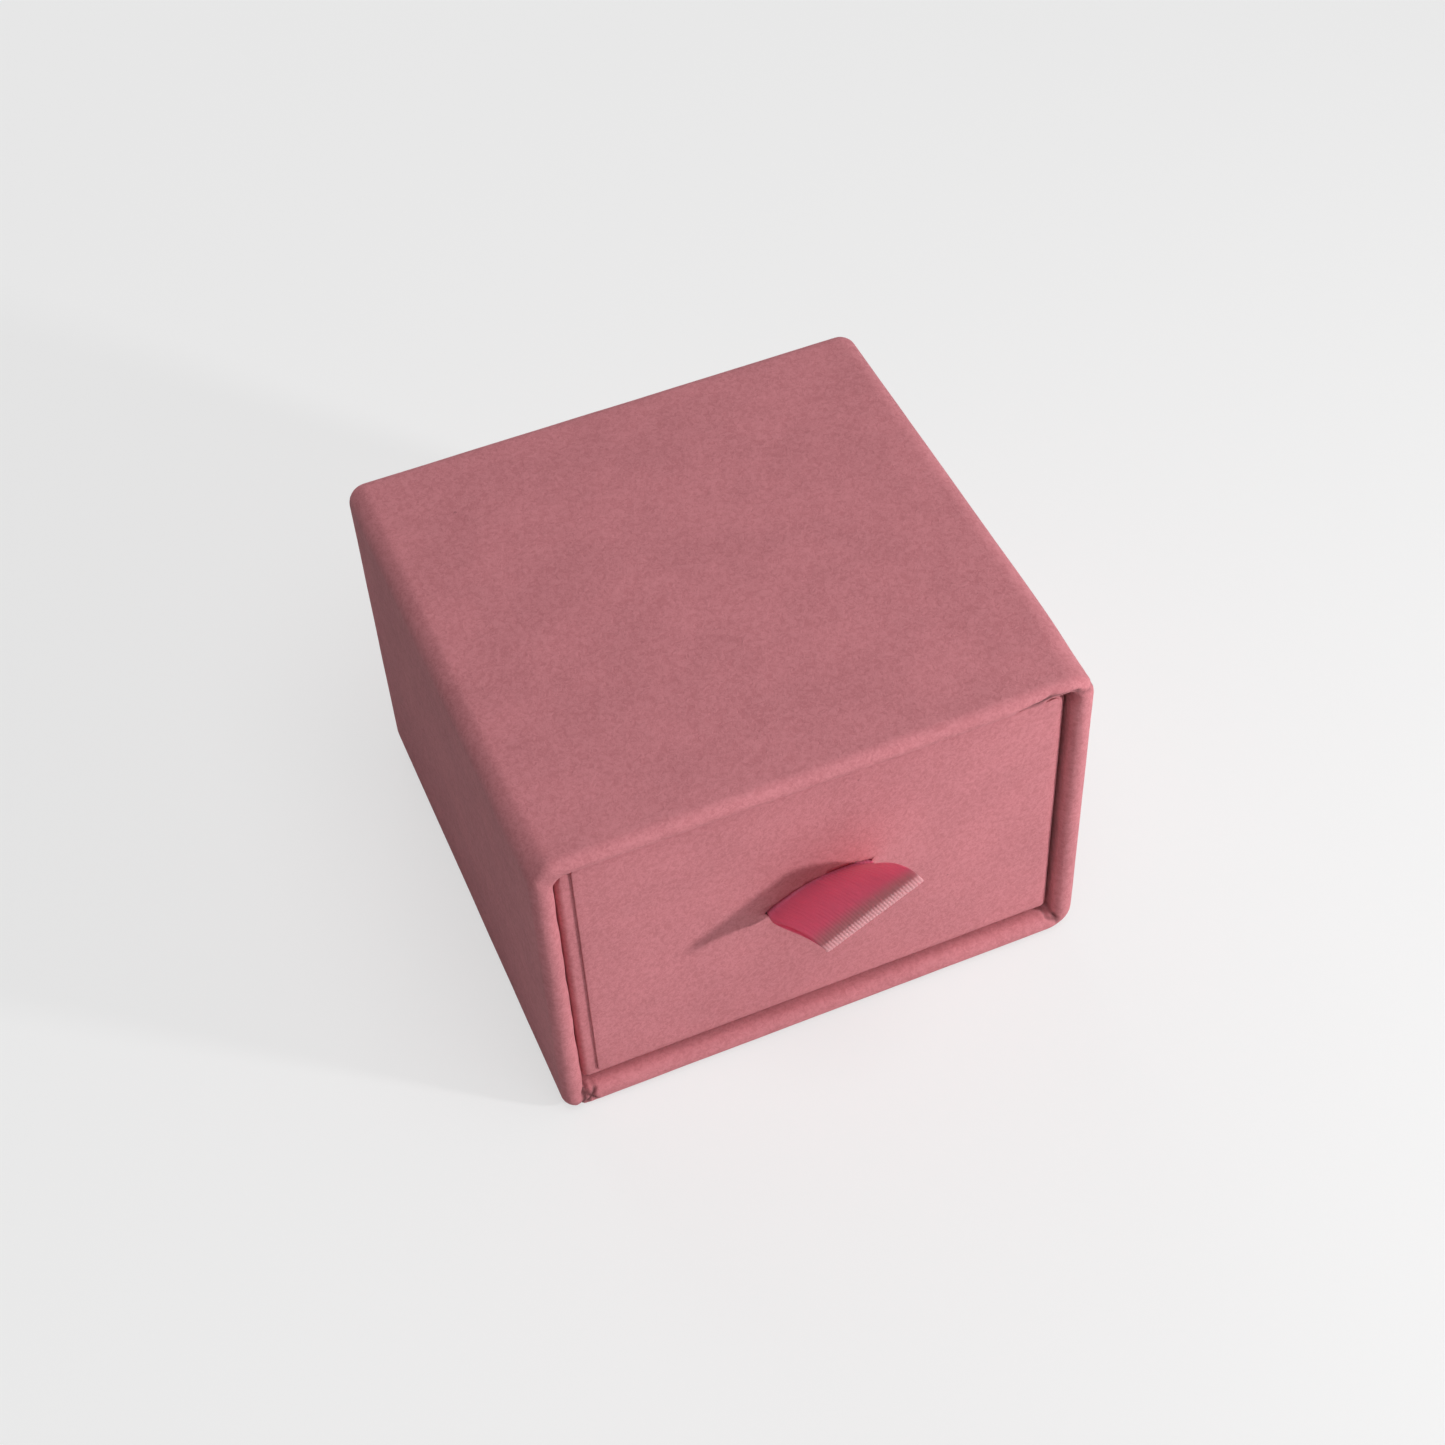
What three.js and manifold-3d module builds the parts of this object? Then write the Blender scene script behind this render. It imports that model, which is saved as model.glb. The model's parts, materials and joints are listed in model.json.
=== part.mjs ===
// Drawer-style ring box: a papered board sleeve, a papered tray that slides in it, a ribbon loop to
// pull the tray by, and a foam pad that holds the ring. Millimetres, +X right, -Y out of the mouth, +Z up.
// The origin is the middle of the sleeve's underside.
import * as THREE from 'three';
import { mergeVertices } from 'three/addons/utils/BufferGeometryUtils.js';
import Module from 'manifold-3d';

const wasm = await Module();
wasm.setup();

// Sleeve, outside
const SLEEVE_WIDTH = 50;
const SLEEVE_DEPTH = 48.8;
const SLEEVE_HEIGHT = 34.5;
const SLEEVE_EDGE_RADIUS = 2.3;
const SLEEVE_BACK_RADIUS = 1.4;
const UNDERSIDE_PAPER = 0.2;
const UNDERSIDE_INSET = 2.2;

// Layers of one papered wall, from its outside face to its inside face
const PAPER = 0.2;
const GLUE_LINE = 0.16;
const BOARD = 1.28;
const WALL = 2 * PAPER + 2 * GLUE_LINE + BOARD;
const TAPE = 0.12;
const TAPE_GAP = 0.02;
const TAPE_LEG = 9;
const MIN_CORNER = 0.12;
const PAPER_GAP = 0.2;

// Drawer and its running clearance
const SIDE_CLEARANCE = 0.3;
const FLOOR_CLEARANCE = 0.3;
const TOP_CLEARANCE = 0.3;
const BACK_CLEARANCE = 0.4;
const TRAY_RECESS = 1.15;
const TRAY_EDGE_RADIUS = 0.6;
const TRAY_FLOOR_RADIUS = 1.0;
const SLEEVE_TURN_IN = 12;
const TRAY_TURN_IN = 9;

// Facing on the tray's front
const FACING = 0.3;
const FACING_GAP = 0.05;
const FACING_LEFT = -21.35;
const FACING_RIGHT = 22.0;
const FACING_BOTTOM = 3.65;
const FACING_TOP_DROP = 0.1;

// Slit and ribbon
const SLIT = { x: -0.05, z: 18.05, chord: 10.4, rise: 1.35, tilt: 12, gap: 1.3 };
const RIBBON_WIDTH = 10;
const RIBBON_THICKNESS = 0.7;
const RIBBON_STUB = 0.2;
const TAB_START = 1.0;
const FOLD = { x: 1.57, z: 22.6, tilt: 29.7, reach: 6.6 };
// How far the tab's bend lies from its root: to the right, outwards and up
const BEND = { right: 0.3, out: 1.6, up: 0.8 };
const TAIL_LENGTH = 18;
const TAIL_THICKNESS = 0.3;
const HOLDER = { width: 14, height: 21, thickness: 0.2 };
const BEHIND_WALL_GAP = 0.1;

// Insert
const PAD_CLEARANCE = 0.5;
const PAD_TOP = 24.5;
const PAD_CORNER = 1.5;
const CARD = 0.8;
const VELVET = 0.5;
const FOAM_GAP = 0.3;
const SLOT = { length: 25, width: 2.4, depth: 13 };

// Facets: steps of each round stretch
const CORNER_STEPS = 4;
const BEND_STEPS = 6;
const NOSE_STEPS = 10;
const SLIT_STEPS = 10;
const TAB_STEPS = 8;
const PAD_STEPS = 5;
const MERGE_DISTANCE = 1e-4;
// How far a cutting block passes the faces that it cuts
const PAST = 1;

const COLOURS = {
  paper: 0xb9747c, liner: 0xc98b91, board: 0x97918a, tape: 0xd8c7a4, facing: 0xbf7a82,
  ribbon: 0xab3c53, foam: 0xe8e6e0, velvet: 0xece2d8, card: 0x8d877d,
};
const ROUGHNESS = { ribbon: 0.55, velvet: 0.95 };

const trayFrontY = -SLEEVE_DEPTH / 2 + TRAY_RECESS;
const facingFrontY = trayFrontY - FACING_GAP - FACING;
const sleeveHigh = SLEEVE_HEIGHT - UNDERSIDE_PAPER;
const sleeveMidZ = UNDERSIDE_PAPER + sleeveHigh / 2;
const trayFloorZ = UNDERSIDE_PAPER + WALL + FLOOR_CLEARANCE;
const trayTopZ = SLEEVE_HEIGHT - WALL - TOP_CLEARANCE;
const trayBackY = SLEEVE_DEPTH / 2 - WALL - BACK_CLEARANCE;
const trayWidth = SLEEVE_WIDTH - 2 * WALL - 2 * SIDE_CLEARANCE;

const model = new THREE.Group();

function material(kind) {
  return new THREE.MeshStandardMaterial({
    color: COLOURS[kind], roughness: ROUGHNESS[kind] ?? 0.85, metalness: 0,
  });
}

function addPiece(name, geometry, kind) {
  const mesh = new THREE.Mesh(geometry, material(kind));
  mesh.name = name;
  model.add(mesh);
}

// Geometry to solid and back, for cuts and joins
function toSolid(geometry) {
  const bare = new THREE.BufferGeometry();
  bare.setAttribute('position', geometry.getAttribute('position').clone());
  if (geometry.index) bare.setIndex(geometry.index.clone());
  const merged = mergeVertices(bare, MERGE_DISTANCE);
  return new wasm.Manifold(new wasm.Mesh({
    numProp: 3,
    vertProperties: new Float32Array(merged.getAttribute('position').array),
    triVerts: new Uint32Array(merged.index.array),
  }));
}

function toGeometry(solid) {
  const mesh = solid.getMesh();
  const geometry = new THREE.BufferGeometry();
  geometry.setAttribute('position', new THREE.BufferAttribute(mesh.vertProperties, 3));
  geometry.setIndex(new THREE.BufferAttribute(mesh.triVerts, 1));
  geometry.computeVertexNormals();
  return geometry;
}

function block(x0, x1, y0, y1, z0, z1) {
  const geometry = new THREE.BoxGeometry(x1 - x0, y1 - y0, z1 - z0);
  return geometry.translate((x0 + x1) / 2, (y0 + y1) / 2, (z0 + z1) / 2);
}

// Rings of points joined into one closed skin; open ends are closed with a fan
function skin(rings, closed) {
  const count = rings[0].length;
  const points = rings.flat();
  const faces = [];
  const steps = closed ? rings.length : rings.length - 1;
  for (let j = 0; j < steps; j++) {
    const low = j * count;
    const high = ((j + 1) % rings.length) * count;
    for (let i = 0; i < count; i++) {
      const next = (i + 1) % count;
      faces.push(low + i, low + next, high + next, low + i, high + next, high + i);
    }
  }
  if (!closed) {
    for (const [ring, flip] of [[rings[0], true], [rings.at(-1), false]]) {
      const start = flip ? 0 : (rings.length - 1) * count;
      const middle = new THREE.Vector3();
      ring.forEach((point) => middle.addScaledVector(point, 1 / count));
      points.push(middle);
      for (let i = 0; i < count; i++) {
        const next = (i + 1) % count;
        faces.push(points.length - 1, start + (flip ? next : i), start + (flip ? i : next));
      }
    }
  }
  const geometry = new THREE.BufferGeometry().setFromPoints(points);
  geometry.setIndex(faces);
  geometry.computeVertexNormals();
  return geometry;
}

// A round quarter or half turn of a wall's section, as [inset, height] points
function arc(inset, height, radius, from, to, steps = BEND_STEPS) {
  return Array.from({ length: steps + 1 }, (_, i) => {
    const angle = THREE.MathUtils.degToRad(from + (to - from) * i / steps);
    return [inset + radius * Math.cos(angle), height + radius * Math.sin(angle)];
  });
}

// One papered board box, open at its top, described in its own frame: u and v across, w up to the rim.
// `place` turns that frame into the model's frame.
function paperedBox({ width, length, height, edge, floor, turnIn, place }) {
  const corner = (inset) => Math.max(edge - inset, MIN_CORNER);
  function ring([inset, w]) {
    const radius = corner(inset);
    const points = [];
    for (let quarter = 0; quarter < 4; quarter++) {
      const cu = (width / 2 - inset - radius) * (quarter === 0 || quarter === 3 ? 1 : -1);
      const cv = (length / 2 - inset - radius) * (quarter < 2 ? 1 : -1);
      for (let step = 0; step <= CORNER_STEPS; step++) {
        const angle = (quarter + step / CORNER_STEPS) * Math.PI / 2;
        points.push(place(cu + radius * Math.cos(angle), cv + radius * Math.sin(angle), w));
      }
    }
    return points;
  }
  const loft = (profile, closed) => skin(profile.map(ring), closed);
  const noseBase = height - WALL / 2;
  const boardOut = PAPER + GLUE_LINE;
  const boardIn = boardOut + BOARD;
  const turnInEnd = height - turnIn;

  const paper = loft([
    ...arc(floor, floor, floor, 270, 180),
    ...arc(WALL / 2, noseBase, WALL / 2, 180, 0, NOSE_STEPS),
    [WALL, turnInEnd], [WALL - PAPER, turnInEnd],
    ...arc(WALL / 2, noseBase, WALL / 2 - PAPER, 0, 180, NOSE_STEPS),
    ...arc(floor, floor, floor - PAPER, 180, 270),
  ], false);
  const baseBoard = loft([
    ...arc(floor, floor, floor - boardOut, 270, 180),
    [boardOut, boardIn],
  ], false);
  const boardTube = toSolid(loft([
    [boardOut, boardIn],
    ...arc(WALL / 2, noseBase, BOARD / 2, 180, 0, NOSE_STEPS),
    [boardIn, boardIn],
  ], true));
  const liner = loft([
    [WALL - PAPER, WALL - PAPER],
    [WALL - PAPER, turnInEnd - PAPER_GAP], [WALL, turnInEnd - PAPER_GAP],
    [WALL, WALL],
  ], false);
  const tapeOut = PAPER + TAPE_GAP;
  const tapeTube = toSolid(loft([
    [tapeOut, floor], [tapeOut, noseBase - TAPE_GAP],
    [tapeOut + TAPE, noseBase - TAPE_GAP], [tapeOut + TAPE, floor],
  ], true));

  // A region of the box's own frame, as a solid in the model's frame
  function region(u0, u1, v0, v1) {
    const low = place(u0, v0, -PAST);
    const high = place(u1, v1, height + PAST);
    return toSolid(block(
      Math.min(low.x, high.x), Math.max(low.x, high.x),
      Math.min(low.y, high.y), Math.max(low.y, high.y),
      Math.min(low.z, high.z), Math.max(low.z, high.z),
    ));
  }
  const u = width / 2 + PAST;
  const v = length / 2 + PAST;
  const innerU = width / 2 - boardIn;
  const innerV = length / 2 - boardIn;
  const wall = (...limits) => boardTube.intersect(region(...limits));
  const tape = (...limits) => toGeometry(tapeTube.intersect(region(...limits)));
  return {
    paper,
    liner,
    baseBoard,
    farWall: wall(-u, u, innerV, v),
    nearWall: wall(-u, u, -v, -innerV),
    leftWall: wall(-u, -innerU, -innerV, innerV),
    rightWall: wall(innerU, u, -innerV, innerV),
    tapes: [[-1, 1], [1, 1], [-1, -1], [1, -1]].map(([su, sv]) => tape(
      su < 0 ? -u : u - TAPE_LEG, su < 0 ? TAPE_LEG - u : u,
      sv < 0 ? -v : v - TAPE_LEG, sv < 0 ? TAPE_LEG - v : v,
    )),
  };
}

// Sleeve: the box stands on its long wall with its rim forward
const sleeve = paperedBox({
  width: SLEEVE_WIDTH, length: sleeveHigh, height: SLEEVE_DEPTH,
  edge: SLEEVE_EDGE_RADIUS, floor: SLEEVE_BACK_RADIUS, turnIn: SLEEVE_TURN_IN,
  place: (u, v, w) => new THREE.Vector3(u, SLEEVE_DEPTH / 2 - w, sleeveMidZ + v),
});
addPiece('sleeve_wrap_paper', sleeve.paper, 'paper');
addPiece('sleeve_liner_paper', sleeve.liner, 'liner');
addPiece('sleeve_back_board', sleeve.baseBoard, 'board');
addPiece('sleeve_top_board', toGeometry(sleeve.farWall), 'board');
addPiece('sleeve_base_board', toGeometry(sleeve.nearWall), 'board');
addPiece('sleeve_left_board', toGeometry(sleeve.leftWall), 'board');
addPiece('sleeve_right_board', toGeometry(sleeve.rightWall), 'board');
['top_left', 'top_right', 'base_left', 'base_right'].forEach((place, i) => {
  addPiece(`sleeve_tape_${place}`, sleeve.tapes[i], 'tape');
});
addPiece('sleeve_underside_paper', block(
  -SLEEVE_WIDTH / 2 + UNDERSIDE_INSET, SLEEVE_WIDTH / 2 - UNDERSIDE_INSET,
  -SLEEVE_DEPTH / 2 + UNDERSIDE_INSET, SLEEVE_DEPTH / 2 - UNDERSIDE_INSET,
  0, UNDERSIDE_PAPER,
), 'paper');

// Curved slit: an arc of a circle that bows upwards, and a band that follows it
const slitRadius = (SLIT.chord ** 2 / 4 + SLIT.rise ** 2) / (2 * SLIT.rise);
function slitBand(arcLength, thickness, yFront, yBack) {
  const half = arcLength / slitRadius / 2;
  const shape = new THREE.Shape();
  shape.absarc(0, 0, slitRadius + thickness / 2, Math.PI / 2 + half, Math.PI / 2 - half, true);
  shape.absarc(0, 0, slitRadius - thickness / 2, Math.PI / 2 - half, Math.PI / 2 + half, false);
  shape.closePath();
  const band = new THREE.ExtrudeGeometry(shape, {
    depth: yBack - yFront, bevelEnabled: false, curveSegments: SLIT_STEPS,
  });
  band.translate(0, SLIT.rise - slitRadius, -yBack);
  band.rotateZ(THREE.MathUtils.degToRad(SLIT.tilt));
  band.rotateX(Math.PI / 2);
  return band.translate(SLIT.x, 0, SLIT.z);
}
const slitArc = 2 * slitRadius * Math.asin(SLIT.chord / 2 / slitRadius);
const slitCut = toSolid(
  slitBand(slitArc, SLIT.gap, facingFrontY - PAST, trayFrontY + WALL + PAST),
);

// Drawer: the box stands on its floor
const trayMidY = (trayFrontY + trayBackY) / 2;
const tray = paperedBox({
  width: trayWidth, length: trayBackY - trayFrontY, height: trayTopZ - trayFloorZ,
  edge: TRAY_EDGE_RADIUS, floor: TRAY_FLOOR_RADIUS, turnIn: TRAY_TURN_IN,
  place: (u, v, w) => new THREE.Vector3(u, trayMidY + v, trayFloorZ + w),
});
const slitIn = (geometry) => toGeometry(toSolid(geometry).subtract(slitCut));
addPiece('drawer_wrap_paper', slitIn(tray.paper), 'paper');
addPiece('drawer_liner_paper', slitIn(tray.liner), 'liner');
addPiece('drawer_base_board', tray.baseBoard, 'board');
addPiece('drawer_front_board', toGeometry(tray.nearWall.subtract(slitCut)), 'board');
addPiece('drawer_back_board', toGeometry(tray.farWall), 'board');
addPiece('drawer_left_board', toGeometry(tray.leftWall), 'board');
addPiece('drawer_right_board', toGeometry(tray.rightWall), 'board');
['back_left', 'back_right', 'front_left', 'front_right'].forEach((place, i) => {
  addPiece(`drawer_tape_${place}`, tray.tapes[i], 'tape');
});
addPiece('drawer_front_facing', slitIn(block(
  FACING_LEFT, FACING_RIGHT, facingFrontY, facingFrontY + FACING,
  FACING_BOTTOM, trayTopZ - FACING_TOP_DROP,
)), 'facing');

// Ribbon tails: through the slit, then flat on the front wall's inner face
const tailsY = trayFrontY + WALL + BEHIND_WALL_GAP;
const tailPlate = block(
  -RIBBON_WIDTH / 2, RIBBON_WIDTH / 2, tailsY, tailsY + TAIL_THICKNESS, -TAIL_LENGTH / 2, TAIL_LENGTH / 2,
);
tailPlate.rotateY(-THREE.MathUtils.degToRad(SLIT.tilt));
tailPlate.translate(SLIT.x, 0, SLIT.z + SLIT.rise / 2);
const throughSlit = slitBand(
  RIBBON_WIDTH, RIBBON_THICKNESS, facingFrontY - RIBBON_STUB, tailsY + TAIL_THICKNESS / 2,
);
addPiece('ribbon_tails', toGeometry(toSolid(throughSlit).add(toSolid(tailPlate))), 'ribbon');
const holderY = tailsY + TAIL_THICKNESS + BEHIND_WALL_GAP;
addPiece('ribbon_holding_paper', block(
  SLIT.x - HOLDER.width / 2, SLIT.x + HOLDER.width / 2, holderY, holderY + HOLDER.thickness,
  SLIT.z - HOLDER.height / 2, SLIT.z + HOLDER.height / 2,
), 'liner');

// Ribbon tab: bowed where it leaves the slit, straight at its outer fold
function ribbonTab() {
  const root = new THREE.Vector3(SLIT.x, facingFrontY - TAB_START - RIBBON_STUB, SLIT.z + SLIT.rise / 2);
  const tip = new THREE.Vector3(FOLD.x, -SLEEVE_DEPTH / 2 - FOLD.reach, FOLD.z);
  const bend = new THREE.Vector3(root.x + BEND.right, root.y - BEND.out, root.z + BEND.up);
  const path = new THREE.QuadraticBezierCurve3(root, bend, tip);
  const rings = [];
  for (let j = 0; j <= TAB_STEPS; j++) {
    const t = j / TAB_STEPS;
    const tilt = THREE.MathUtils.degToRad(SLIT.tilt + (FOLD.tilt - SLIT.tilt) * t);
    const along = path.getTangent(t);
    const side = new THREE.Vector3(Math.cos(tilt), 0, Math.sin(tilt));
    const up = side.clone().cross(along).negate().normalize();
    const centre = path.getPoint(t);
    const bow = SLIT.rise * (1 - t);
    const edge = (s, layer) => centre.clone()
      .addScaledVector(side, s * RIBBON_WIDTH / 2)
      .addScaledVector(up, bow * (0.5 - s * s) + layer * RIBBON_THICKNESS / 2);
    const ring = [];
    for (let i = 0; i <= TAB_STEPS; i++) ring.push(edge(-1 + 2 * i / TAB_STEPS, -1));
    for (let i = TAB_STEPS; i >= 0; i--) ring.push(edge(-1 + 2 * i / TAB_STEPS, 1));
    rings.push(ring);
  }
  return skin(rings, false);
}
addPiece('ribbon_tab', ribbonTab(), 'ribbon');

// Insert: a card, a foam block with a slot, and a velvet cover tucked into the slot
const padHalfX = trayWidth / 2 - WALL - PAD_CLEARANCE;
const padFrontY = holderY + HOLDER.thickness + PAD_CLEARANCE;
const padBackY = trayBackY - WALL - PAD_CLEARANCE;
const padMidY = (padFrontY + padBackY) / 2;
const padFloorZ = trayFloorZ + WALL + BEHIND_WALL_GAP;
function padBlock(inset, z0, z1) {
  const shape = new THREE.Shape();
  const radius = Math.max(PAD_CORNER - inset, MIN_CORNER);
  const x = padHalfX - inset;
  const y = (padBackY - padFrontY) / 2 - inset;
  shape.moveTo(x, -y + radius);
  shape.absarc(x - radius, y - radius, radius, 0, Math.PI / 2, false);
  shape.absarc(-x + radius, y - radius, radius, Math.PI / 2, Math.PI, false);
  shape.absarc(-x + radius, -y + radius, radius, Math.PI, 1.5 * Math.PI, false);
  shape.absarc(x - radius, -y + radius, radius, 1.5 * Math.PI, 2 * Math.PI, false);
  const slab = new THREE.ExtrudeGeometry(shape, {
    depth: z1 - z0, bevelEnabled: false, curveSegments: PAD_STEPS,
  });
  return toSolid(slab.translate(0, padMidY, z0));
}
function slotBlock(grow, z0, z1) {
  return toSolid(block(
    -SLOT.length / 2 - grow, SLOT.length / 2 + grow,
    padMidY - SLOT.width / 2 - grow, padMidY + SLOT.width / 2 + grow, z0, z1,
  ));
}
const foamFloorZ = padFloorZ + CARD + BEHIND_WALL_GAP;
const foamTopZ = PAD_TOP - VELVET - BEHIND_WALL_GAP;
const slotFloorZ = PAD_TOP - SLOT.depth;
addPiece('insert_backing_card', toGeometry(
  padBlock(VELVET + BEHIND_WALL_GAP, padFloorZ, padFloorZ + CARD),
), 'card');
addPiece('insert_foam_block', toGeometry(
  padBlock(VELVET + BEHIND_WALL_GAP, foamFloorZ, foamTopZ)
    .subtract(slotBlock(VELVET + FOAM_GAP, slotFloorZ - FOAM_GAP, PAD_TOP)),
), 'foam');
addPiece('insert_velvet_cover', toGeometry(
  padBlock(0, padFloorZ, PAD_TOP)
    .subtract(padBlock(VELVET, padFloorZ - PAST, PAD_TOP - VELVET))
    .add(slotBlock(VELVET, slotFloorZ, PAD_TOP))
    .subtract(slotBlock(0, slotFloorZ - PAST, PAD_TOP + PAST)),
), 'velvet');

export default model;
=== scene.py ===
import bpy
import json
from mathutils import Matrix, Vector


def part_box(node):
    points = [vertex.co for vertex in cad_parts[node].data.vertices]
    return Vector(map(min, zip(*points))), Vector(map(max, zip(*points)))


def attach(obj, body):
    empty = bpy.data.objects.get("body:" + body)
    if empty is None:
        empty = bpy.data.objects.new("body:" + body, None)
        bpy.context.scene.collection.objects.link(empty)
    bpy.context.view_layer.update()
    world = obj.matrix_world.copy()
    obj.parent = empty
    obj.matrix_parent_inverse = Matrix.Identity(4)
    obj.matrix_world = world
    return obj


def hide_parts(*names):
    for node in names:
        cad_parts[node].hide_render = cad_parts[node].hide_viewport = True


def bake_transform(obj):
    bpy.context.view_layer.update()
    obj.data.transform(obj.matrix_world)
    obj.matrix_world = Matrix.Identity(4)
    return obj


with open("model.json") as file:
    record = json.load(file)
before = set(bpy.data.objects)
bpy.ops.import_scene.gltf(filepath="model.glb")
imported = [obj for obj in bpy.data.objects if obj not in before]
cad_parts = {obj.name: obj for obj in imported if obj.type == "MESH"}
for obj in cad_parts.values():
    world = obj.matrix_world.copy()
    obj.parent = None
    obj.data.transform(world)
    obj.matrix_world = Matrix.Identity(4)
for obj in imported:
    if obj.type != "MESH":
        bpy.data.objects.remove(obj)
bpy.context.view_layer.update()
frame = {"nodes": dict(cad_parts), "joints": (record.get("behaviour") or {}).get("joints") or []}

import json
import math

import bpy
import numpy as np
from bpy.props import FloatProperty, FloatVectorProperty, IntProperty, PointerProperty
from mathutils import Quaternion, Vector

bl_info = {
    "name": "Drawer Ring Box",
    "version": (1, 0, 0),
    "blender": (4, 5, 0),
    "location": "View3D > Sidebar > Ring Box",
    "description": "Papered drawer box for a ring, with a ribbon pull and a velvet pad",
    "category": "Add Mesh",
}

MM = 0.001

# Where the frame has the pieces
SLEEVE_LOW, SLEEVE_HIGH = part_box("sleeve_wrap_paper")
TRAY_LOW, TRAY_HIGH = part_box("drawer_wrap_paper")
FACING_LOW, FACING_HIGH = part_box("drawer_front_facing")
TAILS_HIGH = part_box("ribbon_tails")[1]
PAD_LOW, PAD_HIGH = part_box("insert_velvet_cover")
FOAM_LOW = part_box("insert_foam_block")[0]
FLEX = next(joint for joint in frame["joints"] if joint["name"] == "ribbon_flex")
ROOT = Vector(FLEX["pos_m"])
FLEX_AXIS = Vector(FLEX["axis"])


# ---------------- settings

def size_in_mm(name, description, value):
    return FloatProperty(name=name, description=description, default=value * MM, unit="LENGTH", precision=5)


def angle_in_degrees(name, description, value):
    return FloatProperty(name=name, description=description, default=math.radians(value), subtype="ANGLE")


def power_in_watts(name, description, value):
    return FloatProperty(name=name, description=description, default=value, unit="POWER")


def plain_colour(name, description, value):
    return FloatVectorProperty(
        name=name, description=description, default=value, subtype="COLOR", size=3, min=0, max=1,
    )


class RINGBOX_PG_paper(bpy.types.PropertyGroup):
    """Papered walls of the sleeve and the drawer"""

    wall: size_in_mm("Wall", "Board with paper on both faces", 2.0)
    sheet: size_in_mm("Sheet", "Thickness of the wrap paper", 0.2)
    sleeve_edge: size_in_mm("Sleeve edge", "Radius of the sleeve's long edges", 1.8)
    sleeve_back: size_in_mm("Sleeve back", "Radius round the sleeve's back", 1.4)
    tray_edge: size_in_mm("Drawer edge", "Radius of the drawer's upright edges", 0.6)
    tray_floor: size_in_mm("Drawer floor", "Radius round the drawer's floor", 1.0)
    sleeve_turn_in: size_in_mm("Sleeve turn-in", "Paper turned in at the mouth", 12)
    tray_turn_in: size_in_mm("Drawer turn-in", "Paper turned in at the drawer's rim", 9)
    liner_gap: size_in_mm("Liner gap", "Gap between the turned paper and the liner", 0.2)
    mouth_corner: size_in_mm("Mouth corner", "Radius of the mouth's soft upper left corner", 1.25)
    worn_right: size_in_mm("Worn right", "Extra radius of the sleeve's upper right corner at the mouth", 0.8)
    worn_foot: size_in_mm("Worn foot", "Extra radius of the sleeve's lower right corner at the mouth", 0.7)
    worn_left: size_in_mm("Worn left", "Extra radius of the sleeve's upper left corner at the mouth", 0.3)
    ripple: size_in_mm("Ripple", "Height of the slow ripples in the paper", 0.08)
    ripple_length: size_in_mm("Ripple length", "Distance between ripples", 8)
    colour: plain_colour("Paper", "Colour of the wrap paper", (0.65, 0.24, 0.268))
    deep: plain_colour("Paper, deep", "Colour between the paper's fibres", (0.50, 0.155, 0.178))
    liner: plain_colour("Liner", "Colour of the liner paper", (0.82, 0.42, 0.44))
    board: plain_colour("Board", "Colour of the grey board", (0.31, 0.285, 0.25))
    tape: plain_colour("Tape", "Colour of the stay tape", (0.60, 0.47, 0.29))


class RINGBOX_PG_ribbon(bpy.types.PropertyGroup):
    """The doubled ribbon that pulls the drawer"""

    width: size_in_mm("Width", "Width of the ribbon", 10)
    strip: size_in_mm("Strip", "Thickness of one layer", 0.24)
    puff: size_in_mm("Puff", "Spacing of the two layers at the fold", 0.9)
    touch: size_in_mm("Touch", "Spacing of the two layers in the slit", 0.30)
    tail: size_in_mm("Tail", "Length of a glued tail behind the front", 9)
    bend: size_in_mm("Bend", "Radius of the bend into the slit", 0.35)
    rise: size_in_mm("Rise", "Height of the slit's curve", 1.35)
    chord: size_in_mm("Chord", "Width of the slit", 10.4)
    fold_right: size_in_mm("Fold right", "Fold's place to the right of the ribbon's root", 1.67)
    fold_out: size_in_mm("Fold out", "Fold's distance out from the ribbon's root", 6.1)
    fold_up: size_in_mm("Fold up", "Fold's height above the ribbon's root", 3.75)
    sunk: size_in_mm("Sunk", "How far the card is pressed below its full thickness", 0.15)
    fold_tilt: angle_in_degrees("Fold tilt", "Slope of the fold", 29.7)
    threads: IntProperty(name="Threads", description="Warp threads across the ribbon", default=34, min=4)
    thread: size_in_mm("Thread", "How far a thread stands out", 0.045)
    colour: plain_colour("Ribbon", "Colour of the ribbon", (1.0, 0.225, 0.385))
    # Painted highlight: the pale colour laid on the ribbon's fold stands in for the satin's sheen.
    pale: plain_colour("Ribbon, pale", "Colour of the ribbon where its fold is worn", (0.94, 0.55, 0.57))


class RINGBOX_PG_pad(bpy.types.PropertyGroup):
    """The pad that holds the ring"""

    cloth: size_in_mm("Cloth", "Thickness of the velvet", 0.5)
    crown: size_in_mm("Crown", "How far the pad's top swells", 0.6)
    edge: size_in_mm("Edge", "Radius of the pad's upper edge", 1.7)
    corner: size_in_mm("Corner", "Radius of the pad's upright corners", 1.5)
    lip: size_in_mm("Lip", "Radius of the slot's lips", 1.3)
    slot_length: size_in_mm("Slot length", "Length of the ring slot", 25)
    slot_width: size_in_mm("Slot width", "Width of the ring slot", 2.4)
    slot_depth: size_in_mm("Slot depth", "Depth of the ring slot", 12.6)
    swell: size_in_mm("Swell", "Height of the cloth's slow swells", 0.5)
    swell_length: size_in_mm("Swell length", "Distance between swells", 7)
    velvet: plain_colour("Velvet", "Colour of the velvet", (0.86, 0.73, 0.62))
    foam: plain_colour("Foam", "Colour of the foam", (0.83, 0.81, 0.77))


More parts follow.
